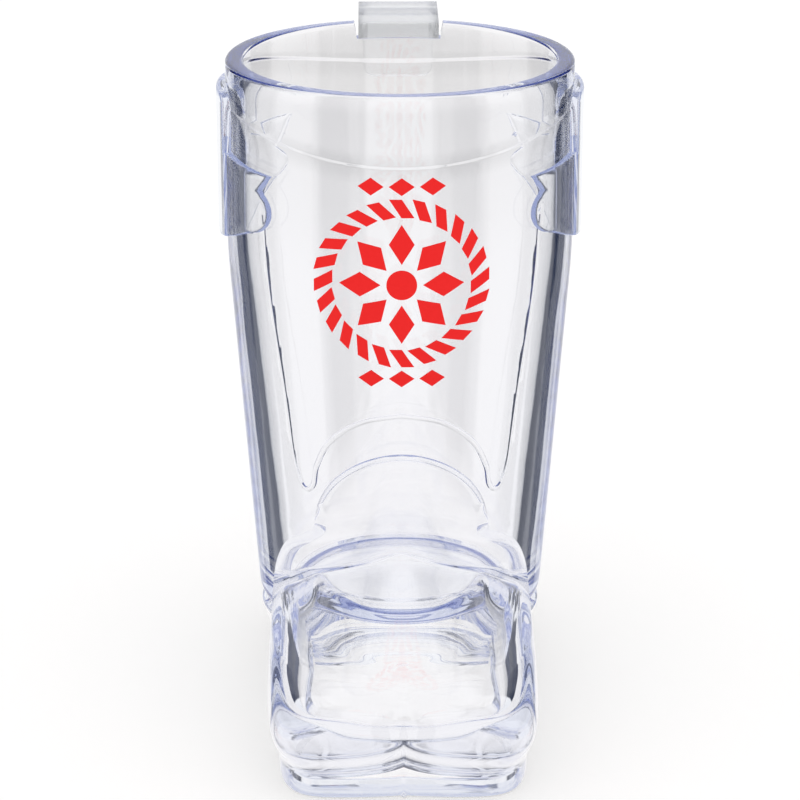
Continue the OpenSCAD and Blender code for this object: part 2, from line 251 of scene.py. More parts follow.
def bent(name: str, plate: Plate, bend: Callable[[Vector], Point]) -> Piece:
    """Moves every corner of a plate and makes a piece of it.

    Args:
        name: Name of the object.
        plate: The plate, which is used up.
        bend: Place of a corner of the flat plate on the piece.

    Returns:
        The object.
    """
    plate.verts.index_update()
    points = [bend(v.co) for v in plate.verts]
    faces = [[v.index for v in f.verts] for f in plate.faces]
    plate.free()
    return make_piece(name, points, faces)


def settle(piece: Piece) -> None:
    """Turns a piece's modifiers into plain mesh.

    Args:
        piece: The piece, which keeps its name.
    """
    depsgraph = bpy.context.evaluated_depsgraph_get()
    old = piece.data
    piece.data = bpy.data.meshes.new_from_object(piece.evaluated_get(depsgraph))
    piece.modifiers.clear()
    bpy.data.meshes.remove(old)
    piece.data.name = piece.name


def combine(piece: Piece, tool: Piece, cut: Cut) -> None:
    """Adds a tool solid to a piece or takes it away, and deletes the tool.

    Args:
        piece: The piece that is kept.
        tool: The solid that works on it.
        cut: Whether the tool is added or taken away.
    """
    step = piece.modifiers.new("combine", "BOOLEAN")
    step.operation = cut.value
    step.solver = "MANIFOLD"
    step.object = tool
    settle(piece)
    bpy.data.objects.remove(tool)
    shape = bmesh.new()
    shape.from_mesh(piece.data)
    bmesh.ops.dissolve_degenerate(shape, dist=SLIVER, edges=shape.edges)
    shape.to_mesh(piece.data)
    shape.free()


def smooth(piece: Piece) -> None:
    """Shades a piece smooth, with its hard edges kept."""
    piece.data.polygons.foreach_set("use_smooth", [True] * len(piece.data.polygons))
    piece.data.set_sharp_from_angle(angle=SHARP_ANGLE)


def level_shading(piece: Piece) -> None:
    """Shades a piece's large faces flat up to its rounded edges."""
    step = piece.modifiers.new("level_shading", "WEIGHTED_NORMAL")
    step.keep_sharp = True
    settle(piece)


def soften(piece: Piece, width: float) -> None:
    """Rounds a piece's hard edges.

    Args:
        piece: The piece.
        width: Width of the rounding in millimetres.
    """
    step = piece.modifiers.new("soften", "BEVEL")
    step.width = width * MM
    step.segments = ROUND_STEPS
    step.limit_method = "ANGLE"
    step.angle_limit = SHARP_ANGLE
    settle(piece)


class NodeBench:
    """Adds nodes to a tree and links them."""

    COLOUR_A = 6
    COLOUR_B = 7
    COLOUR_OUT = 2

    def __init__(self, tree: bpy.types.NodeTree) -> None:
        """Starts on an emptied tree."""
        self.tree = tree
        tree.nodes.clear()

    def add(self, kind: str, *inputs: object, **settings: object) -> Node:
        """Adds a node.

        Args:
            kind: Type name of the node.
            inputs: Values, sockets or nodes for its inputs, in order.
            settings: Properties of the node.

        Returns:
            The node.
        """
        node = self.tree.nodes.new(kind)
        for key, value in settings.items():
            setattr(node, key, value)
        for i, value in enumerate(inputs):
            self.feed(node.inputs[i], value)
        return node

    def named(self, kind: str, values: dict[str, object]) -> Node:
        """Adds a node with its inputs given by name.

        Args:
            kind: Type name of the node.
            values: Values, sockets or nodes for its inputs.

        Returns:
            The node.
        """
        node = self.add(kind)
        for name, value in values.items():
            self.feed(node.inputs[name], value)
        return node

    def feed(self, socket: Socket, value: object) -> None:
        """Sets or links an input.

        Args:
            socket: The input.
            value: Its value, the output that feeds it, or a node for its first output.
        """
        if isinstance(value, Node):
            value = value.outputs[0]
        if isinstance(value, Socket):
            self.tree.links.new(value, socket)
        else:
            socket.default_value = value

    def math(self, operation: str, *inputs: object) -> Socket:
        """Output of a Math node."""
        return self.add("ShaderNodeMath", *inputs, operation=operation).outputs[0]

    def step(self, value: object, low: float, high: float) -> Socket:
        """Smooth step of a value from 0 at low to 1 at high."""
        return self.add("ShaderNodeMapRange", value, low, high, interpolation_type="SMOOTHSTEP").outputs[0]

    def blend(self, share: object, a: object, b: object) -> Socket:
        """Colour between two others.

        Args:
            share: Share of the second, from 0 to 1.
            a: First colour.
            b: Second colour.

        Returns:
            The colour.
        """
        node = self.add("ShaderNodeMix", data_type="RGBA")
        self.feed(node.inputs[0], share)
        self.feed(node.inputs[self.COLOUR_A], a)
        self.feed(node.inputs[self.COLOUR_B], b)
        return node.outputs[self.COLOUR_OUT]

    def noise(self, size: float, detail: float) -> Node:
        """Noise over a piece, with spots of a size in millimetres."""
        spot = self.add("ShaderNodeTexCoord").outputs["Object"]
        values = {"Vector": spot, "Scale": 1 / (size * MM), "Detail": detail}
        return self.named("ShaderNodeTexNoise", values)


def new_material(name: str) -> tuple[Material, NodeBench]:
    """New material and the bench of its emptied node tree."""
    material = bpy.data.materials.new(name)
    material.use_nodes = True
    return material, NodeBench(material.node_tree)


@dataclass(frozen=True)
class ClearPlastic:
    """Polished clear moulding plastic, faintly blue in its depth."""

    name: str
    ior: float = 1.57
    depth_colour: Colour = (0.18, 0.30, 0.74)
    depth_density: float = 11.0
    roughness: Flat = (0.0, 0.02)
    ripple_size: float = 9.0
    ripple_detail: float = 1.0
    ripple: float = 0.03

    def make(self) -> Material:
        """Builds the material.

        Returns:
            A transmissive material with faint flow ripples and light absorbed in its depth.
        """
        material, bench = new_material(self.name)
        flow = bench.noise(self.ripple_size, self.ripple_detail)
        ripple = bench.named("ShaderNodeBump", {"Strength": self.ripple, "Distance": MM, "Height": flow})
        polish = bench.named("ShaderNodeMapRange", {
            "Value": flow, "To Min": self.roughness[0], "To Max": self.roughness[1],
        })
        surface = bench.named("ShaderNodeBsdfPrincipled", {
            "Base Color": WHITE, "IOR": self.ior, "Transmission Weight": 1.0,
            "Roughness": polish, "Normal": ripple,
        })
        depth = bench.add("ShaderNodeVolumeAbsorption", (*self.depth_colour, 1), self.depth_density)
        bench.named("ShaderNodeOutputMaterial", {"Surface": surface, "Volume": depth})
        return material


@dataclass(frozen=True)
class ScreenInk:
    """Flat screen ink with a faint mottle."""

    name: str
    colour: Colour = (0.96, 0.027, 0.026)
    deep: Colour = (0.91, 0.021, 0.021)
    mottle_size: float = 0.5
    mottle_detail: float = 3.0
    roughness: float = 0.6
    sheen: float = 0.1
    grain: float = 0.08
    grain_depth: float = 0.05

    def make(self) -> Material:
        """Builds the material.

        Returns:
            An opaque material whose colour varies a little from place to place.
        """
        material, bench = new_material(self.name)
        mottle = bench.noise(self.mottle_size, self.mottle_detail)
        grain = bench.named("ShaderNodeBump", {
            "Strength": self.grain, "Distance": self.grain_depth * MM, "Height": mottle,
        })
        surface = bench.named("ShaderNodeBsdfPrincipled", {
            "Base Color": bench.blend(mottle, (*self.colour, 1), (*self.deep, 1)),
            "Roughness": self.roughness, "Specular IOR Level": self.sheen, "Normal": grain,
        })
        bench.named("ShaderNodeOutputMaterial", {"Surface": surface})
        return material


@dataclass(frozen=True)
class BootForm:
    """Sizes that several pieces share, in millimetres, and the curves drawn from them."""

    rim_h: float
    heel_h: float
    sole_t: float
    tongue_h: float
    belly_r: float
    rim_r: float = 20.8
    rim_wall: float = 1.9
    clip_w: float = 10.2
    shelf_t: float = 2.0
    ankle_r: float = 17.9
    straight_h: float = 23.0
    base_round: float = 3.0
    belly_blend: float = 3.5
    heel_front: float = 7.0
    bond_gap: float = 0.1
    seat_gap: float = 0.06

    @classmethod
    def from_frame(cls) -> "BootForm":
        """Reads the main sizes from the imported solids.

        Returns:
            The form with those sizes.
        """
        cup_low, cup_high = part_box("shaft_cup")
        foot_low, foot_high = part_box("foot_shell")
        return cls(
            rim_h=cup_high.z / MM,
            heel_h=cup_low.z / MM,
            sole_t=foot_low.z / MM,
            tongue_h=foot_high.z / MM,
            belly_r=cup_high.x / MM,
        )

    @property
    def belly_z(self) -> float:
        """Height where the straight upper part ends."""
        return self.rim_h - self.straight_h

    @property
    def ankle_z(self) -> float:
        """Height where the rounding of the base ends."""
        return self.heel_h + self.base_round

    def two_lines(self, z: float, low: Flat, middle: Flat, high: Flat) -> float:
        """Radius on two straight lines with a soft bend where they meet.

        Args:
            z: Height.
            low: Radius and height of the lower end.
            middle: Radius and height of the bend.
            high: Radius and height of the upper end.

        Returns:
            The radius at that height.
        """
        under = (middle[0] - low[0]) / (middle[1] - low[1])
        over = (high[0] - middle[0]) / (high[1] - middle[1])
        d = z - middle[1]
        if abs(d) < self.belly_blend:
            soft = (over - under) * (d + self.belly_blend) ** 2 / (4 * self.belly_blend)
            return middle[0] + under * d + soft
        return middle[0] + (over if d > 0 else under) * d

    def shaft_r(self, z: float) -> float:
        """Outer radius of the shaft at a height."""
        low, middle = (self.ankle_r, self.ankle_z), (self.belly_r, self.belly_z)
        return self.two_lines(z, low, middle, (self.rim_r, self.rim_h))


@dataclass
class Bead:
    """A raised round line that follows a path, made with Geometry Nodes."""

    name: str
    path: Sequence[Point]
    radius: float
    sides: int = 12

    def tree(self) -> bpy.types.NodeTree:
        """Builds the node tree that sweeps a round section along the path.

        Returns:
            The tree.
        """
        tree = bpy.data.node_groups.new(self.name, "GeometryNodeTree")
        sockets = {"Path": "Geometry", "Radius": "Float", "Sides": "Int", "Finish": "Material"}
        for name, kind in sockets.items():
            tree.interface.new_socket(name, in_out="INPUT", socket_type=f"NodeSocket{kind}")
        tree.interface.new_socket("Bead", in_out="OUTPUT", socket_type="NodeSocketGeometry")
        bench = NodeBench(tree)
        given = bench.add("NodeGroupInput").outputs
        line = bench.add("GeometryNodeMeshToCurve", given["Path"])
        section = bench.named("GeometryNodeCurvePrimitiveCircle", {
            "Resolution": given["Sides"], "Radius": given["Radius"],
        })
        sweep = bench.named("GeometryNodeCurveToMesh", {
            "Curve": line, "Profile Curve": section, "Fill Caps": True,
        })
        whole = bench.add("GeometryNodeRealizeInstances", sweep)
        finish = bench.named("GeometryNodeSetMaterial", {"Geometry": whole, "Material": given["Finish"]})
        bench.add("NodeGroupOutput", finish)
        return tree

    def build(self, material: Material) -> Piece:
        """Makes the bead as a closed mesh.

        Args:
            material: Finish of the bead.

        Returns:
            The object.
        """
        edges = [(i, i + 1) for i in range(len(self.path) - 1)]
        bead = make_piece(self.name, self.path, [], edges)
        step = bead.modifiers.new("sweep", "NODES")
        tree = self.tree()
        values = {"Radius": self.radius * MM, "Sides": self.sides, "Finish": material}
        for item in tree.interface.items_tree:
            if item.name in values:
                values[item.identifier] = values.pop(item.name)
        step.node_group = tree
        for identifier, value in values.items():
            step[identifier] = value
        settle(bead)
        return bead


class ClearPiece:
    """A piece of clear plastic."""

    def shape(self) -> Piece:
        """Makes the bare piece."""
        raise NotImplementedError

    def build(self, plastic: Material) -> Piece:
        """Makes the piece with its finish.

        Args:
            plastic: Finish of the piece.

        Returns:
            The object, shaded smooth.
        """
        piece = self.shape()
        piece.data.materials.append(plastic)
        smooth(piece)
        return piece


@dataclass
class ShaftCup(ClearPiece):
    """The shaft, which is the cup: walls, rim, collar, clip notch and the piping on its front."""

    form: BootForm
    floor_wall: float = 3.0
    cup_floor: float = 2.4
    floor_fillet: float = 3.0
    rim_round: float = 0.5
    collar_proud: float = 0.32
    collar_front: float = 8.4
    collar_back: float = 5.3
    collar_sweep: float = 62.0
    collar_edge: float = 0.35
    collar_turn: float = 0.3
    notch_gap: float = 0.15
    notch_flare: float = 0.4
    notch_over: float = 1.0
    notch_reach: float = 5.0
    columns: int = 192
    wall_rows: int = 30
    collar_rows: int = 5
    edge_rows: int = 6
    rim_steps: int = 6
    fillet_steps: int = 8
    piping_r: float = 0.5
    piping_proud: float = 0.17
    piping_side: float = 0.055
    piping_fall: Flat = (34.0, 44.0)
    piping_steps: int = 14
    piping: tuple[Flat, ...] = (
        (50.5, 60.0), (47.0, 47.5), (43.8, 38.0), (41.6, 29.8), (39.6, 27.0), (36.5, 26.0),
        (33.4, 27.0), (31.6, 29.5), (25.5, 33.0), (13.4, 36.0), (0.0, 37.0),
    )

    @property
    def floor_z(self) -> float:
        """Height of the cup's floor."""
        return self.form.heel_h + self.cup_floor

    def collar_line(self, angle: float) -> float:
        """Height of the collar's lower edge.

        Args:
            angle: Degrees from the front.

        Returns:
            The height.
        """
        x = self.form.rim_r * math.sin(math.radians(angle))
        rise = self.collar_sweep - math.sqrt(self.collar_sweep ** 2 - x ** 2)
        back = ease(-self.collar_turn, self.collar_turn, -math.cos(math.radians(angle)))
        return self.form.rim_h - mix(self.collar_front, self.collar_back, back) + rise

    def inner_r(self, z: float) -> float:
        """Radius of the cup's inside.

        Args:
            z: Height.

        Returns:
            The radius at that height.
        """
        f = self.form
        top = f.rim_h - self.rim_round
        share = (f.belly_z - self.floor_z) / (f.rim_h - self.floor_z)
        belly_wall = mix(self.floor_wall, f.rim_wall, share)
        low = (f.shaft_r(self.floor_z) - self.floor_wall, self.floor_z + self.floor_fillet)
        return f.two_lines(z, low, (f.belly_r - belly_wall, f.belly_z), (f.rim_r - f.rim_wall, top))

    def profile(self, angle: float) -> list[Flat]:
        """Section of the cup as radius and height, from its base over the rim to its floor.

        Args:
            angle: Degrees from the front.

        Returns:
            The points, as many at every angle.
        """
        f = self.form
        line = self.collar_line(angle)
        rows = self.wall_rows
        foot = (f.ankle_r - f.base_round, f.ankle_z)
        points = arc(foot, f.base_round, -90, 0, self.fillet_steps)[:-1]
        for i in range(rows):
            z = mix(f.ankle_z, line - self.collar_edge, i / rows)
            points.append((f.shaft_r(z), z))
        for i in range(self.edge_rows + 1):
            z = mix(line - self.collar_edge, line + self.collar_edge, i / self.edge_rows)
            points.append((f.shaft_r(z) + self.collar_proud * ease(0, self.edge_rows, i), z))
        top = f.rim_h - self.rim_round
        for i in range(1, self.collar_rows):
            z = mix(line + self.collar_edge, top, i / self.collar_rows)
            points.append((f.shaft_r(z) + self.collar_proud, z))
        outside = f.rim_r + self.collar_proud - self.rim_round
        points += arc((outside, top), self.rim_round, 0, 90, self.rim_steps)
        mouth = f.rim_r - f.rim_wall + self.rim_round
        points += arc((mouth, top), self.rim_round, 90, 180, self.rim_steps)
        low = self.floor_z + self.floor_fillet
        for i in range(1, rows):
            z = mix(top, low, i / rows)
            points.append((self.inner_r(z), z))
        corner = self.inner_r(low) - self.floor_fillet
        points += arc((corner, low), self.floor_fillet, 0, -90, self.fillet_steps)
        return points

    def piping_point(self, angle: float, z: float) -> Point:
        """Middle of the piping at an angle and a height, where it is less proud at the sides."""
        proud = mix(self.piping_proud, self.piping_side, ease(*self.piping_fall, abs(angle)))
        return turned_point(angle, self.form.shaft_r(z) + proud - self.piping_r, z)

    def notch(self) -> Piece:
        """Solid that cuts the clip's notch out of the rim at the back.

        Returns:
            The solid.
        """
        f = self.form
        half = f.clip_w / 2 + self.notch_gap
        wide = half + self.notch_flare
        low, high = f.rim_h - f.shelf_t - f.seat_gap, f.rim_h + self.notch_over
        right = [(half, low), (wide, f.rim_h), (wide, high)]
        outline = right + [(-x, z) for x, z in reversed(right)]
        near, far = f.rim_r / 2, f.rim_r + self.notch_reach
        return loft("notch", [[(x, y, z) for x, z in outline] for y in (near, far)], Cap.DISC)

    def shape(self) -> Piece:
        """Makes the cup without its piping and notch.

        Returns:
            The object.
        """
        angles = [360 * j / self.columns for j in range(self.columns)]
        columns = [[turned_point(a, r, z) for r, z in self.profile(a)] for a in angles]
        return loft("shaft", list(zip(*columns)), Cap.DISC)

    def build(self, plastic: Material) -> Piece:
        """Makes the cup, adds its piping and cuts its notch.

        Args:
            plastic: Finish of the cup.

        Returns:
            The object.
        """
        cup = super().build(plastic)
        half = spline(self.piping, self.piping_steps)
        whole = half + [(-a, z) for a, z in reversed(half[:-1])]
        path = [self.piping_point(a, z) for a, z in whole]
        combine(cup, Bead("piping", path, self.piping_r).build(plastic), Cut.ADD)
        combine(cup, self.notch(), Cut.REMOVE)
        smooth(cup)
        return cup


@dataclass
class FootShell(ClearPiece):
    """The hollow vamp and toe in front of the shaft, with a tongue that runs up the shaft."""

    form: BootForm
    toe_reach: float = 48.4
    toe_w: float = 31.8
    toe_tuck: float = 1.8
    side_tuck: float = 1.0
    bulge_h: float = 6.6
    toe_h: float = 11.0
    toe_set_back: float = 4.0
    instep_h: float = 15.3
    instep_reach: float = 30.5
    instep_w: float = 30.6
    vamp_w: float = 23.0
    crease_h: float = 18.6
    crease_stand_off: float = 1.4
    crease_w: float = 27.8
    crease_ridge_w: float = 10.0
    tongue_foot_h: float = 22.0
    tongue_w: float = 21.0
    tongue_edge: float = 0.8
    tongue_arch: float = 1.9
    tongue_round: float = 1.0
    tongue_blend: float = 2.5
    vamp_blend: float = 2.5
    toe_wall: float = 2.8
    slope: float = 18.0
    slope_h: float = 11.0
    wall: float = 1.8
    tongue_wall: float = 0.8
    cleft: float = 3.0
    cleft_w: float = 3.4
    cleft_form: float = 1.0
    cleft_inside: float = 0.35
    centre: float = 14.0
    ridge_fall: float = 3.0
    ridge_form: float = 1.3
    square_toe: float = 7.0
    toe_top_plan: float = 2.6
    instep_plan: float = 2.4
    round_plan: float = 2.0
    least: float = 0.05
    steps: int = 120
    toe_rings: int = 24
    vamp_rings: int = 110
    tongue_rings: int = 120

    def rows(self) -> list[tuple[float, float, float, float, float]]:
        """Rows that the foot's surface passes through.

        Returns:
            Height, reach, half-width, half-width of the ridge and plan exponent of each row.
        """
        half, low = self.toe_w / 2, self.toe_w / 2 - self.side_tuck
        crease = self.form.shaft_r(self.crease_h) + self.crease_stand_off
        return [
            (self.form.sole_t, self.toe_reach - self.toe_tuck, low, low, self.square_toe),
            (self.bulge_h, self.toe_reach, half, half, self.square_toe),
            (self.toe_h, self.toe_reach - self.toe_set_back, half, half, self.toe_top_plan),
            (self.instep_h, self.instep_reach, self.instep_w / 2, self.vamp_w / 2, self.instep_plan),
            (self.crease_h, crease, self.crease_w / 2, self.crease_ridge_w / 2, self.round_plan),
            (self.tongue_foot_h, self.centre, self.tongue_w / 2, self.least, self.round_plan),
            (self.form.tongue_h, self.centre, self.crease_w / 2, self.least, self.round_plan),
        ]

    def row_at(self, z: float) -> list[float]:
        """Row of the foot on a smooth curve through the rows.

        Args:
            z: Height.

        Returns:
            The row at that height.
        """
        rows = self.rows()
        i = max(k for k in range(len(rows) - 1) if k == 0 or z >= rows[k][0])
        low, high = rows[i], rows[i + 1]
        t = min(1.0, max(0.0, (z - low[0]) / (high[0] - low[0])))
        before, after = rows[max(0, i - 1)], rows[min(len(rows) - 1, i + 2)]
        return [cubic(before[k], low[k], high[k], after[k], t) for k in range(len(low))]

    def tongue_half(self, z: float) -> float:
        """Half-width of the tongue at a height."""
        u = (z - self.tongue_foot_h) / (self.form.tongue_h - self.tongue_foot_h)
        return self.tongue_w / 2 * max(0.0, 1 - u ** self.tongue_arch) ** (1 / self.tongue_arch)

    def edge_share(self, x: float, z: float) -> float:
        """Share of its full height that the tongue has near its rounded edge.

        Args:
            x: Place across the tongue.
            z: Height.

        Returns:
            The share, from 0 at the edge to 1.
        """
        if z <= self.tongue_foot_h:
            return 1.0
        half, tall, power = self.tongue_w / 2, self.form.tongue_h - self.tongue_foot_h, self.tongue_arch
        across, up = min(1.0, abs(x) / half), (z - self.tongue_foot_h) / tall
        steepness = power * math.hypot(across ** (power - 1) / half, up ** (power - 1) / tall)
        inside = max(0.0, 1 - across ** power - up ** power) / max(steepness, self.least)
        start = 1 - ease(0, self.tongue_blend, z - self.tongue_foot_h)
        near = max(0.0, 1 - start - inside / self.tongue_round)
        return math.sqrt(1 - near ** 2)

    def wall_at(self, z: float) -> float:
        """Wall of the foot at a height."""
        rise = max(0.0, z - self.instep_h) / (self.form.tongue_h - self.instep_h)
        wall = mix(self.toe_wall, self.wall, ease(self.toe_h, self.instep_h, z))
        return mix(wall, self.tongue_wall, rise)

    def slope_at(self, z: float) -> float:
        """How far the front of the hollow slopes back at a height."""
        low = min(1.0, max(0.0, 1 - (z - self.form.sole_t) / self.slope_h))
        return self.slope * (1 - math.sqrt(1 - low ** 2))

    def plan(self, z: float, inset: float, dip: float, set_back: float) -> list[Flat]:
        """Plan of the foot at a height.

        Args:
            z: Height.
            inset: How far the plan is drawn in.
            dip: Depth of the dip at the middle of the toe.
            set_back: How far the end of the toe is set back besides.

        Returns:
            Points from one flank at the heel, round the toe, to the other flank.
        """
        row = self.row_at(z)
        n = max(self.round_plan, row[4])
        half = max(self.least, (self.tongue_half(z) if z > self.tongue_foot_h else row[2]) - inset)
        ridge = min(half, max(self.least, row[3] - inset))
        reach = max(self.centre + self.least, row[1] - inset - set_back)
        cleft_full, cleft_top = (self.bulge_h + self.toe_h) / 2, (self.toe_h + self.instep_h) / 2
        fade = min(1.0, max(0.0, (cleft_top - z) / (cleft_top - cleft_full)))
        rise = ease(self.toe_h, self.crease_h, z)
        bow = mix(1 / n, self.ridge_form, rise)
        points = []
        for i in range(self.steps + 1):
            x = half * math.sin(math.pi / 2 * (1 - 2 * i / self.steps))
            beside = abs(x) - ridge
            y = self.ridge_fall * beside - self.centre
            if beside < 0:
                y = -self.centre - (reach - self.centre) * (1 - (abs(x) / ridge) ** n) ** bow
            points.append((x, y + dip * fade * math.exp(-((abs(x) / self.cleft_w) ** self.cleft_form))))
        back = -self.form.heel_front
        return [(points[0][0], back), *points, (points[-1][0], back)]

    def ring(self, z: float, inset: float, stand: float, dip: float, set_back: float) -> list[Flat]:
        """Plan at a height, pushed forward until it stands off the shaft.

        Args:
            z: Height.
            inset: How far the plan is drawn in.
            stand: Least distance from the shaft.
            dip: Depth of the cleft.
            set_back: How far the end of the toe is set back besides.

        Returns:
            Points from one flank round the toe to the other.
        """
        f = self.form
        shaft = f.shaft_r(z)
        k = self.vamp_blend
        points = []
        for x, y in self.plan(z, inset, dip, set_back):
            full = mix(f.bond_gap, stand, self.edge_share(x, z))
            r = 0.0 if z < f.heel_h - f.bond_gap else shaft + full
            need = math.sqrt(r * r - x * x) if abs(x) < r else 0.0
            near = max(0.0, k - abs(y + need))
            soft = near * near / (4 * k)
            points.append((x, min(y - soft, -need - soft, -f.heel_front)))
        return points

    def levels(self) -> list[float]:
        """Heights of the rings.

        Returns:
            The heights, close together on the flat vamp and toward the tip of the tongue.
        """
        low, bend, high = self.form.sole_t + self.form.seat_gap, self.tongue_foot_h, self.form.tongue_h
        toe = [mix(low, self.toe_h, i / self.toe_rings) for i in range(self.toe_rings)]
        vamp = [mix(self.toe_h, bend, i / self.vamp_rings) for i in range(self.vamp_rings)]
        turns = [math.pi / 2 * i / self.tongue_rings for i in range(self.tongue_rings + 1)]
        return toe + vamp + [mix(bend, high, math.sin(turn)) for turn in turns]

    def shape(self) -> Piece:
        """Makes the foot.

        Returns:
            The object.
        """
        high = self.form.tongue_h
        rings = []
        for z in self.levels():
            outer = self.ring(z, 0.0, self.tongue_edge, self.cleft, 0.0)
            wall = self.wall_at(z)
            inside, dip = min(high, z + wall / 2), self.cleft * self.cleft_inside
            inner = self.ring(inside, wall, self.form.bond_gap, dip, self.slope_at(inside))
            rings.append([(x, y, z) for x, y in outer] + [(x, y, z) for x, y in reversed(inner)])
        return loft("foot", rings, Cap.STRIP)


@dataclass
class Outsole(ClearPiece):
    """The thin plate under the foot, with a rounded lower edge and a raised waist."""

    foot: FootShell
    inset: float = 0.2
    dip: float = 0.6
    edge_round: float = 0.6
    top_round: float = 0.2
    slices: int = 24
    arch_rise: float = 1.2
    arch_len: float = 15.0
    prop_w: float = 23.8
    prop_t: float = 1.8
    prop_reach: float = 17.4

    def underside(self, y: float) -> float:
        """Height of the sole's underside.

        Args:
            y: Place along the foot.

        Returns:
            The height, raised under the waist.
        """
        radius = (self.arch_len ** 2 / 4 + self.arch_rise ** 2) / (2 * self.arch_rise)
        off = y + self.foot.form.heel_front + self.arch_len / 2
        if abs(off) >= self.arch_len / 2:
            return 0.0
        return self.arch_rise - radius + math.sqrt(radius ** 2 - off ** 2)

    def prop(self) -> Piece:
        """Cross wall on the sole under the front of the cup's base.

        Returns:
            The wall.
        """
        form = self.foot.form
        half = self.prop_w / 2
        front, back = -self.prop_reach, self.prop_t - self.prop_reach
        plan = [(-half, front), (half, front), (half, back), (-half, back)]
        levels = (form.sole_t / 2, form.heel_h - form.bond_gap)
        return loft("prop", [[(x, y, z) for x, y in plan] for z in levels], Cap.DISC)

    def shape(self) -> Piece:
        """Makes the sole without its cross wall.

        Returns:
            The object.
        """
        sole_t = self.foot.form.sole_t
        outline = self.foot.plan(sole_t, self.inset, self.dip, 0.0)
        plate = rounded_plate(outline, sole_t, self.edge_round, self.top_round)
        back = -self.foot.form.heel_front
        arch = [back - self.arch_len * (i + 1) / self.slices for i in range(self.slices)]
        cut_slices(plate, Vector((0, 1, 0)), arch)
        return bent("sole", plate, lambda p: (p.x, p.y, mix(self.underside(p.y), sole_t, p.z / sole_t)))

    def build(self, plastic: Material) -> Piece:
        """Makes the sole, adds its cross wall and shades its large faces flat.

        Args:
            plastic: Finish of the sole.

        Returns:
            The object.
        """
        sole = super().build(plastic)
        combine(sole, self.prop(), Cut.ADD)
        smooth(sole)
        level_shading(sole)
        return sole


@dataclass
class HeelBlock(ClearPiece):
    """The tapered heel under the back of the shaft, flat where the sole meets it."""

    form: BootForm
    top_r: float = 17.6
    foot_r: float = 16.2
    edge_round: float = 1.0
    round_steps: int = 5
    top_round: float = 0.2
    front_gap: float = 0.15
    steps: int = 96

    def ring(self, radius: float, z: float) -> list[Point]:
        """Plan of the heel as a closed loop at a height."""
        front = self.form.heel_front - self.front_gap
        start = -math.degrees(math.asin(front / radius))
        return [(x, y, z) for x, y in arc((0, 0), radius, start, 180 - start, self.steps)]

    def shape(self) -> Piece:
        """Makes the heel.

        Returns:
            The object.
        """
        r = self.edge_round
        top = self.form.heel_h - self.form.seat_gap
        rings = [self.ring(x, z) for x, z in arc((self.foot_r - r, r), r, -90, 0, self.round_steps)]
        rings.append(self.ring(self.top_r, top - self.top_round))
        rings.append(self.ring(self.top_r - self.top_round, top))
        return loft("heel", rings, Cap.DISC)


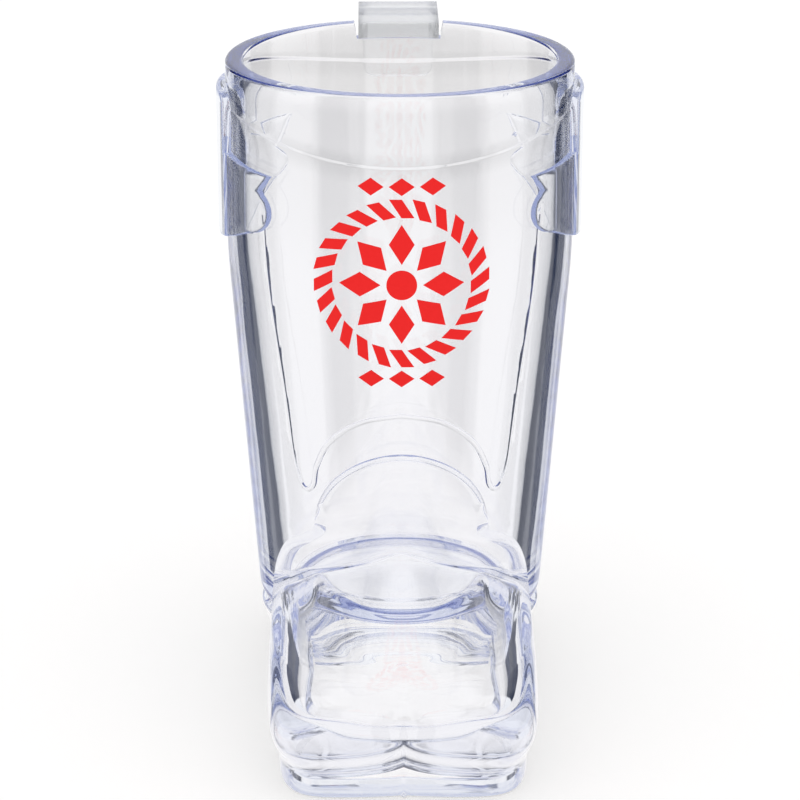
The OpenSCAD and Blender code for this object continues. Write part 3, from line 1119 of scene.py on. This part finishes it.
@dataclass
class PullStrap(ClearPiece):
    """An ear plate at one side of the mouth, with pointed and lobed wings."""

    form: BootForm
    side: Side
    top_t: float = 1.4
    foot_t: float = 1.0
    stand_off: float = 0.35
    strap_w: float = 13.0
    corner: float = 1.6
    wing_w: float = 30.4
    wing_h: float = 10.6
    wing_rise: float = 0.6
    lobe_r: float = 2.9
    lobe_drop: float = 4.64
    lobe_sweep: Flat = (-80.0, 60.0)
    foot_steps: int = 10
    lobe_steps: int = 12
    corner_steps: int = 6
    wing_share: float = 0.6
    wing_step: float = 0.25
    slice_w: float = 0.9
    edge: float = 0.24

    @property
    def node(self) -> str:
        """Name of the solid that the strap stands for."""
        return f"pull_strap_{self.side.name.lower()}"

    def outline(self, height: float) -> list[Flat]:
        """Outline of the strap about the middle of its foot.

        Args:
            height: Height of the strap.

        Returns:
            The closed outline.
        """
        lobe_x = self.wing_w / 2 - self.lobe_r
        lobe_z = self.wing_h - self.lobe_drop
        foot_z = lobe_z - self.lobe_r
        foot_r = (lobe_x ** 2 + foot_z ** 2) / (2 * foot_z)
        sweep = math.degrees(math.asin(lobe_x / foot_r))
        half = arc((0, foot_r), foot_r, -90, sweep - 90, self.foot_steps)
        half += arc((lobe_x, lobe_z), self.lobe_r, *self.lobe_sweep, self.lobe_steps)
        half += [(self.wing_w / 2, self.wing_h), (self.strap_w / 2, self.wing_h + self.wing_rise)]
        corner = (self.strap_w / 2 - self.corner, height - self.corner)
        half += arc(corner, self.corner, 0, 90, self.corner_steps)
        return half + [(-y, z) for y, z in reversed(half[1:])]

    def thickness(self, across: float, share: float) -> float:
        """How far the strap reaches from the shaft.

        Args:
            across: Place across the strap.
            share: Share of its height.

        Returns:
            The distance.
        """
        thick = mix(self.foot_t, self.top_t, share)
        wing = ease(self.strap_w / 2, self.strap_w / 2 + self.wing_step, abs(across))
        return mix(thick, mix(self.stand_off, thick, self.wing_share), wing)

    def shape(self) -> Piece:
        """Makes the strap as a flat plate of unit depth, bent round the shaft.

        Returns:
            The object.
        """
        low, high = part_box(self.node)
        foot_z, height = low.z / MM, (high.z - low.z) / MM
        plate = rounded_plate(self.outline(height), 1.0, self.edge, self.edge)
        step, slices = self.strap_w / 2, int(self.wing_w / self.slice_w)
        across = [mix(-self.wing_w / 2, self.wing_w / 2, i / slices) for i in range(1, slices)]
        across = [spot for spot in across if abs(abs(spot) - step) > self.slice_w / 2]
        across += [side * (step + more) for side in (-1, 1) for more in (0.0, self.wing_step)]
        up = [i * self.slice_w for i in range(1, int(height / self.slice_w))]
        cut_slices(plate, Vector((1, 0, 0)), across)
        cut_slices(plate, Vector((0, 1, 0)), up)

        def bend(spot: Vector) -> Point:
            """Bends a corner of the plate round the shaft.

            Args:
                spot: The corner on the flat plate.

            Returns:
                Its place.
            """
            z = foot_z + spot.y
            thick = self.thickness(spot.x, spot.y / height)
            r = self.form.shaft_r(z) + mix(self.stand_off, thick, spot.z)
            return self.side.value * math.sqrt(r * r - spot.x ** 2), spot.x, z

        return bent(f"strap_{self.side.name.lower()}", plate, bend)


@dataclass
class RearClip(ClearPiece):
    """The hanger at the back: a shelf in the rim's notch with a leg at its end."""

    form: BootForm
    tip_w: float = 9.2
    leg_t: float = 1.7
    leg_corner: float = 1.4
    inner_corner: float = 0.8
    outer_corner: float = 0.5
    corner_steps: int = 5
    stations: int = 24
    edge: float = 0.2

    def section(self, u: float) -> list[Point]:
        """Section of the clip across its width.

        Args:
            u: Place across the clip, from -1 to 1.

        Returns:
            The closed section.
        """
        f = self.form
        low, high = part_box("rear_clip")
        far, least = high.y / MM, low.z / MM
        near = far - self.leg_t
        shelf_z = f.rim_h - f.shelf_t
        tip = self.tip_w / 2
        over = max(0.0, abs(u) * tip - (tip - self.leg_corner))
        foot = least + self.leg_corner - math.sqrt(self.leg_corner ** 2 - over ** 2)
        start = math.sqrt((f.rim_r - f.rim_wall) ** 2 - (u * f.clip_w / 2) ** 2)
        r, o = self.inner_corner, self.outer_corner
        loop = [(start, f.rim_h), (start, shelf_z)]
        loop += arc((near - r, shelf_z - r), r, 90, 0, self.corner_steps)
        loop += [(near, foot), (far, foot)]
        loop += arc((far - o, f.rim_h - o), o, 0, 90, self.corner_steps)
        points = []
        for y, z in loop:
            width = mix(self.tip_w, f.clip_w, min(1.0, (z - least) / (shelf_z - least)))
            points.append((u * width / 2, y, z))
        return points

    def shape(self) -> Piece:
        """Makes the clip.

        Returns:
            The object.
        """
        spots = [math.sin(math.pi / 2 * (2 * i / self.stations - 1)) for i in range(self.stations + 1)]
        clip = loft("clip", [self.section(u) for u in spots], Cap.DISC)
        soften(clip, self.edge)
        return clip


@dataclass
class Stage:
    """The pale floor, the soft surroundings and the camera, with lengths in millimetres."""

    floor_size: float = 8000.0
    floor_drop: float = 0.2
    floor_pale: float = 0.62
    floor_lift: float = 0.45
    backdrop_near: Colour = (0.975, 0.96, 0.955)
    backdrop_far: Colour = (0.76, 0.75, 0.745)
    fade: Flat = (-0.34, -0.18)
    surround_left: Colour = (0.045, 0.055, 0.095)
    surround_right: Colour = (0.022, 0.030, 0.062)
    surround_light: Colour = (0.96, 0.97, 0.99)
    surround_deep: Colour = (0.43, 0.48, 0.67)
    deep: Flat = (3.5, 13.5)
    window: Flat = (-0.34, -0.10)
    ceiling: Flat = (0.70, 0.85)
    sheet_middle: float = -30.0
    sheet_low: float = 40.0
    sheet_high: float = 56.0
    screens: float = 4.0
    side_blend: float = 0.2
    first_bounce: float = 0.5
    outer_lift: float = 0.5
    camera_at: Point = (-3.46, -360.46, 159.2)
    camera_pitch: float = 19.445
    camera_turn: float = -0.55
    camera_near: float = 10.0
    lens: float = 137.07
    bounces: int = 128

    def around(self, bench: NodeBench, direction: Socket) -> Socket:
        """Colour of the surroundings in a direction: white screens, darkness between them, a white ceiling.

        Args:
            bench: Bench of the tree.
            direction: Direction, read by its angle round the boot and by its height.

        Returns:
            The colour.
        """
        parts = bench.add("ShaderNodeSeparateXYZ", direction)
        turn = bench.math("ARCTAN2", parts.outputs[1], parts.outputs[0])
        wave = bench.math("COSINE", bench.math("MULTIPLY", turn, self.screens))
        path = bench.add("ShaderNodeLightPath")
        outer = bench.math("LESS_THAN", path.outputs["Transmission Depth"], self.first_bounce)
        wave = bench.math("ADD", wave, bench.math("MULTIPLY", outer, self.outer_lift))
        screen = bench.step(wave, *self.window)
        ceiling = bench.step(parts.outputs[2], *self.ceiling)
        side = bench.step(parts.outputs[0], -self.side_blend, self.side_blend)
        dark = bench.blend(side, (*self.surround_left, 1), (*self.surround_right, 1))
        plain = bench.blend(bench.math("MAXIMUM", screen, ceiling), dark, (*self.surround_light, 1))
        deep = bench.step(path.outputs["Glossy Depth"], *self.deep)
        return bench.blend(deep, plain, (*self.surround_deep, 1))

    def turned(self, bench: NodeBench) -> Socket:
        """Tells light that a clear wall has thrown back from all other light.

        Args:
            bench: Bench of the tree.

        Returns:
            A share that is 1 for such light and 0 for the rest.
        """
        path = bench.add("ShaderNodeLightPath")
        clear = bench.math("LESS_THAN", path.outputs["Diffuse Depth"], self.first_bounce)
        thrown = bench.math("GREATER_THAN", path.outputs["Glossy Depth"], self.first_bounce)
        return bench.math("MULTIPLY", clear, thrown)

    def surroundings(self) -> None:
        """Sets up the world."""
        world = bpy.data.worlds.new("surroundings")
        world.use_nodes = True
        bpy.context.scene.world = world
        bench = NodeBench(world.node_tree)
        direction = bench.add("ShaderNodeTexCoord").outputs["Generated"]
        height = bench.add("ShaderNodeSeparateXYZ", direction).outputs[2]
        fade = bench.step(height, *self.fade)
        fade = bench.math("MULTIPLY", fade, bench.math("LESS_THAN", height, 0.0))
        plain = bench.blend(fade, (*self.backdrop_near, 1), (*self.backdrop_far, 1))
        colour = bench.blend(self.turned(bench), plain, self.around(bench, direction))
        straight = bench.add("ShaderNodeLightPath").outputs["Is Camera Ray"]
        light = bench.add("ShaderNodeBackground", bench.blend(straight, colour, WHITE), 1.0)
        bench.named("ShaderNodeOutputWorld", {"Surface": light})

    def floor(self) -> None:
        """Lays the floor, which is white to the camera and keeps the shadow."""
        half = self.floor_size / 2
        corners = [(-half, -half), (half, -half), (half, half), (-half, half)]
        floor = make_piece("floor", [(x, y, -self.floor_drop) for x, y in corners], [range(len(corners))])
        material, bench = new_material("pale_floor")
        straight = bench.add("ShaderNodeLightPath").outputs["Is Camera Ray"]
        pale = bench.add("ShaderNodeBsdfDiffuse", (*[self.floor_pale] * 3, 1))
        lift = bench.add("ShaderNodeEmission", WHITE, self.floor_lift)
        direct = bench.add("ShaderNodeAddShader", pale, lift)
        both = bench.add("ShaderNodeMixShader", straight, self.underlay(bench), direct)
        bench.named("ShaderNodeOutputMaterial", {"Surface": both})
        floor.data.materials.append(material)

    def underlay(self, bench: NodeBench) -> Node:
        """What light from the boot finds at the floor.

        Args:
            bench: Bench of the floor's tree.

        Returns:
            A white sheet near the foot and the surroundings beyond it.
        """
        spot = bench.add("ShaderNodeTexCoord").outputs["Object"]
        middle = (0, self.sheet_middle * MM, 0)
        sheet = bench.add("ShaderNodeVectorMath", spot, middle, operation="DISTANCE")
        outside = bench.step(sheet.outputs["Value"], self.sheet_low * MM, self.sheet_high * MM)
        white = bench.add("ShaderNodeEmission", (*self.backdrop_near, 1), 1.0)
        beyond = bench.add("ShaderNodeBsdfTransparent")
        return bench.add("ShaderNodeMixShader", outside, white, beyond)

    def camera(self) -> None:
        """Sets the camera at the photograph's angle."""
        data = bpy.data.cameras.new("camera")
        data.lens = self.lens
        data.clip_start = self.camera_near * MM
        camera = bpy.data.objects.new("camera", data)
        camera.location = Vector(self.camera_at) * MM
        camera.rotation_euler = (math.radians(90 - self.camera_pitch), 0, math.radians(self.camera_turn))
        bpy.context.scene.collection.objects.link(camera)
        bpy.context.scene.camera = camera

    def build(self) -> None:
        """Sets up the whole stage."""
        self.surroundings()
        self.floor()
        self.camera()
        scene = bpy.context.scene
        scene.view_settings.view_transform = "Standard"
        scene.cycles.max_bounces = self.bounces
        scene.cycles.transmission_bounces = self.bounces
        scene.cycles.glossy_bounces = self.bounces


def report(piece: Piece) -> None:
    """Logs a finished piece."""
    LOG.info("%s: %d faces", piece.name, len(piece.data.polygons))


def place(piece: Piece, slot: str, *nodes: str) -> None:
    """Hands a finished piece to the frame.

    Args:
        piece: The finished piece.
        slot: Material slot of the record that it takes its finish from; not used.
        nodes: Solids that it stands for.
    """
    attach(piece, ROOT)
    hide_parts(*nodes)
    report(piece)


def main() -> None:
    """Builds the pieces in order, then the stage."""
    logging.basicConfig(level=logging.INFO, format="%(message)s")
    form = BootForm.from_frame()
    body = ClearPlastic("clear_body").make()
    sole_plastic = ClearPlastic("clear_sole", depth_density=0.5).make()
    trim = ClearPlastic("clear_trim").make()
    # The rear clip is frosted, with rough faces. The grey tint in its depth is painted shade that darkens
    # the clip to the grey it shows in this light.
    frosted_and_shaded = ClearPlastic(
        "frosted_and_shaded_trim", depth_colour=(0.45, 0.46, 0.48), depth_density=22.0, roughness=(0.10, 0.16),
    ).make()
    place(ShaftCup(form).build(body), "clear_body", "shaft_cup")
    foot = FootShell(form)
    place(foot.build(body), "clear_body", "foot_shell")
    place(Outsole(foot).build(sole_plastic), "clear_sole", "outsole")
    place(HeelBlock(form).build(sole_plastic), "clear_sole", "heel_block")
    for side in Side:
        strap = PullStrap(form, side)
        place(strap.build(trim), "clear_trim", strap.node)
    place(RearClip(form).build(frosted_and_shaded), "clear_trim", "rear_clip")
    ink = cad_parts["front_print"]
    ink.data.materials.clear()
    ink.data.materials.append(ScreenInk("red_ink").make())
    report(ink)
    Stage().build()


if __name__ == "__main__":
    main()
